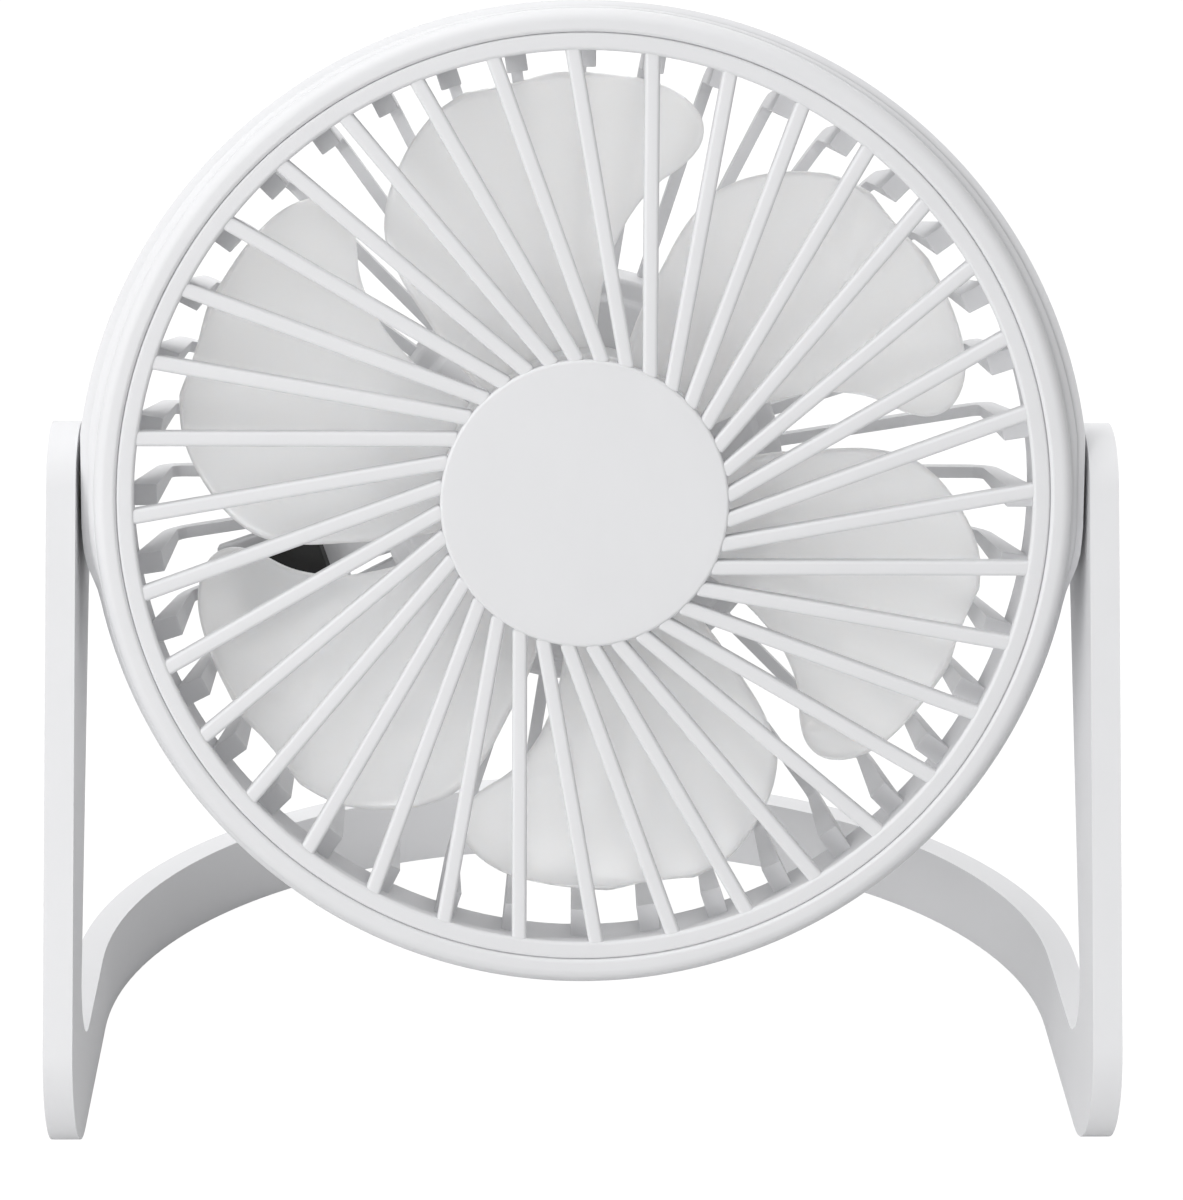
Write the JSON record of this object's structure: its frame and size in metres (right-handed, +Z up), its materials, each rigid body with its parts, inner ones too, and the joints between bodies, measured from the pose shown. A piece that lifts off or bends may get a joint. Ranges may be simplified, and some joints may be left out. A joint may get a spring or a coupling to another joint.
{
  "type": "desk fan",
  "caption": "Small tabletop fan: round caged head with a slatted front, tilting between the arms of a bent strap stand; rear inlet and rocker switch.",
  "frame": {"origin": "middle of the footprint at the floor: bottom centre of the bounding box", "axes": "+Z up, -Y the side that the air leaves from, +X to the right when seen from the front"},
  "size_m": [0.15, 0.1112, 0.156],
  "materials": {
    "shell": "satin white moulding",
    "nylon": "natural nylon",
    "steel": "zinc plated",
    "screw_steel": "zinc plated",
    "blade": "frosted white, slightly translucent",
    "ferrite": "pressed ferrite",
    "brass": "turned",
    "bronze": "sintered bronze",
    "core_steel": "stacked laminations",
    "board": "green solder mask",
    "plated": "tinned shell",
    "black_plastic": "fine grain",
    "black_rocker": "smooth",
    "copper": "enamelled wire"
  },
  "bodies": {
    "stand_body": {"stand": "shell", "pivot_cap_right": "shell", "pivot_cap_left": "shell", "friction_washer_right": "nylon", "friction_washer_left": "nylon"},
    "head_body": {"pivot_screw_right": "steel", "pivot_screw_left": "steel", "casing_ring": "shell", "front_grille": "shell", "rear_grille": "shell", "motor_cover": "shell", "cover_screw_1": "screw_steel", "cover_screw_2": "screw_steel", "cover_screw_3": "screw_steel", "bearing_tube": "brass", "bearing_front": "bronze", "bearing_rear": "bronze", "stator_core": "core_steel", "stator_coil_1": "copper", "stator_coil_2": "copper", "stator_coil_3": "copper", "stator_coil_4": "copper", "driver_board": "board", "control_board": "board", "usb_socket": "plated", "switch_body": "black_plastic"},
    "rotor_body": {"impeller": "blade", "motor_shaft": "steel", "rotor_yoke": "steel", "rotor_magnet": "ferrite", "shaft_clip": "steel"},
    "rocker_body": {"switch_rocker": "black_rocker"}
  },
  "joints": [
    {"name": "head_tilt", "type": "hinge", "parent": "stand_body", "child": "head_body", "pos_m": [0, -0.01385, 0.0861], "axis": [1, 0, 0], "continuous": true},
    {"name": "fan_spin", "type": "hinge", "parent": "head_body", "child": "rotor_body", "pos_m": [0, -0.01385, 0.0861], "axis": [0, 0.9781, -0.2079], "continuous": true},
    {"name": "switch_rock", "type": "hinge", "parent": "head_body", "child": "rocker_body", "pos_m": [-0.04349, 0.00984, 0.06575], "axis": [0.3256, -0.1966, -0.9249], "range_deg": [0, 20]}
  ]
}
